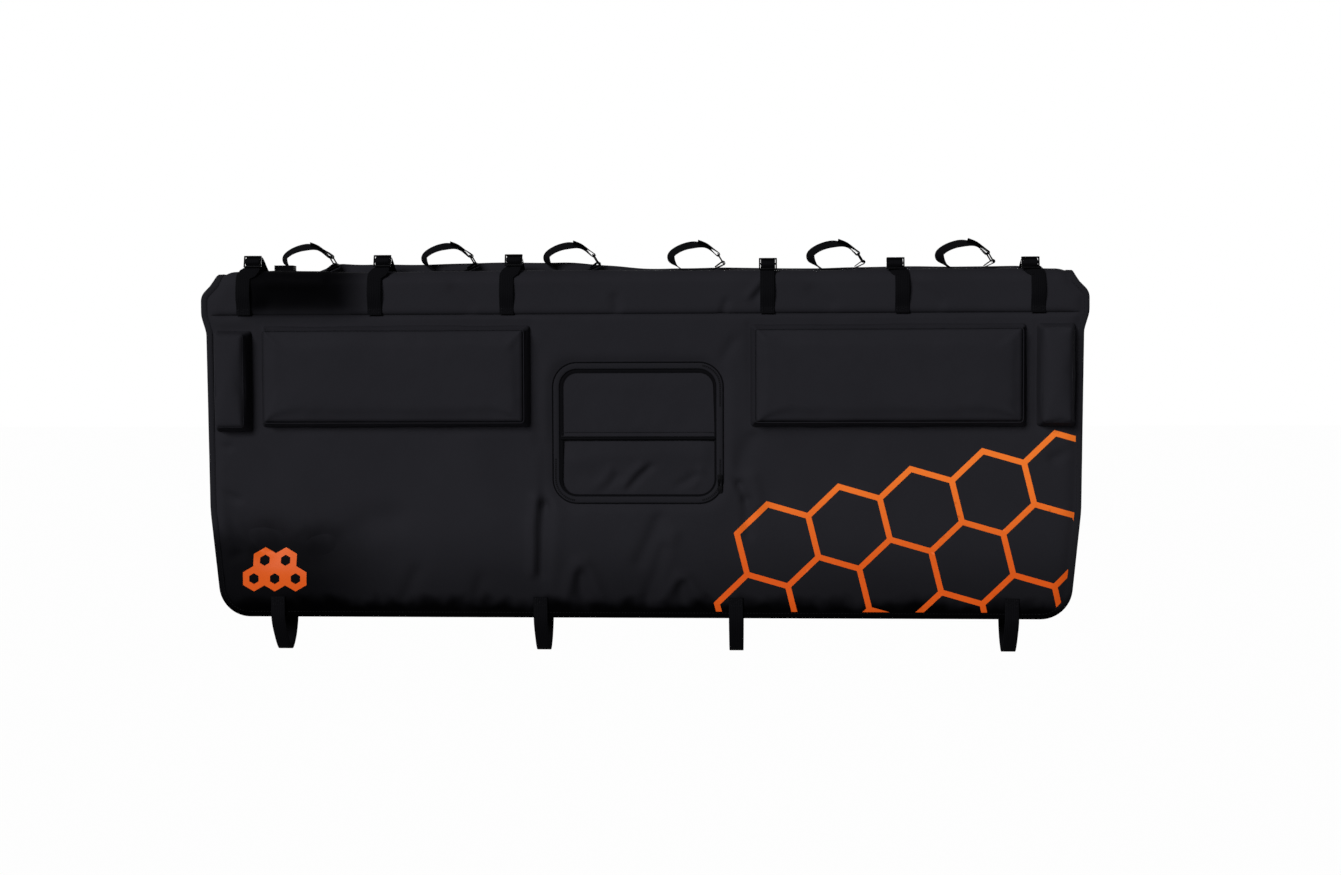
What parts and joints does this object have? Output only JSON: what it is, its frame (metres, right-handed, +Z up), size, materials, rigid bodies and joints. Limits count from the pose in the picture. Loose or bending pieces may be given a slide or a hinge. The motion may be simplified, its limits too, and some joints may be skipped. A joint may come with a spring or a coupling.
{
  "type": "tailgate bike pad",
  "caption": "Padded black cover that hangs over a pickup's closed tailgate to carry bicycles, with webbing straps, cinch loops, raised foam blocks, a handle window and orange graphics.",
  "frame": {"origin": "middle of the inner face of the pad's top, which sits on the top edge of the closed tailgate", "axes": "+X along the pad's width, to the right as seen from behind the pickup; -Y out of the front panel, away from the pickup's bed; +Z up"},
  "size_m": [1.5572, 0.1419, 0.724],
  "materials": {
    "coated_cloth": "satin",
    "binding_tape": "matte",
    "black_webbing": "matte",
    "moulded_plastic": "satin",
    "orange_film": "satin"
  },
  "bodies": {
    "root": {"front_panel": "coated_cloth", "top_band": "coated_cloth", "access_flap_upper": "coated_cloth", "access_flap_lower": "coated_cloth", "foam_block_1": "coated_cloth", "foam_block_2": "coated_cloth", "foam_block_3": "coated_cloth", "foam_block_4": "coated_cloth", "edge_binding": "binding_tape", "window_binding": "binding_tape", "frame_strap_1": "black_webbing", "frame_strap_2": "black_webbing", "frame_strap_3": "black_webbing", "frame_strap_4": "black_webbing", "frame_strap_5": "black_webbing", "frame_strap_6": "black_webbing", "downtube_strap_1": "black_webbing", "downtube_strap_2": "black_webbing", "downtube_strap_3": "black_webbing", "downtube_strap_4": "black_webbing", "downtube_strap_5": "black_webbing", "downtube_strap_6": "black_webbing", "lower_strap_1": "black_webbing", "lower_strap_2": "black_webbing", "lower_strap_3": "black_webbing", "lower_strap_4": "black_webbing", "buckle_tab_1": "black_webbing", "buckle_tab_2": "black_webbing", "buckle_tab_3": "black_webbing", "buckle_tab_4": "black_webbing", "zip_slider": "moulded_plastic", "strap_buckle_1": "moulded_plastic", "strap_buckle_2": "moulded_plastic", "strap_buckle_3": "moulded_plastic", "strap_buckle_4": "moulded_plastic", "strap_buckle_5": "moulded_plastic", "strap_buckle_6": "moulded_plastic", "strap_ring_1": "moulded_plastic", "strap_ring_2": "moulded_plastic", "strap_ring_3": "moulded_plastic", "strap_ring_4": "moulded_plastic", "strap_ring_5": "moulded_plastic", "strap_ring_6": "moulded_plastic", "lower_buckle_1": "moulded_plastic", "lower_buckle_2": "moulded_plastic", "lower_buckle_3": "moulded_plastic", "lower_buckle_4": "moulded_plastic", "graphic_outline": "orange_film", "graphic_badge": "orange_film"}
  },
  "joints": []
}
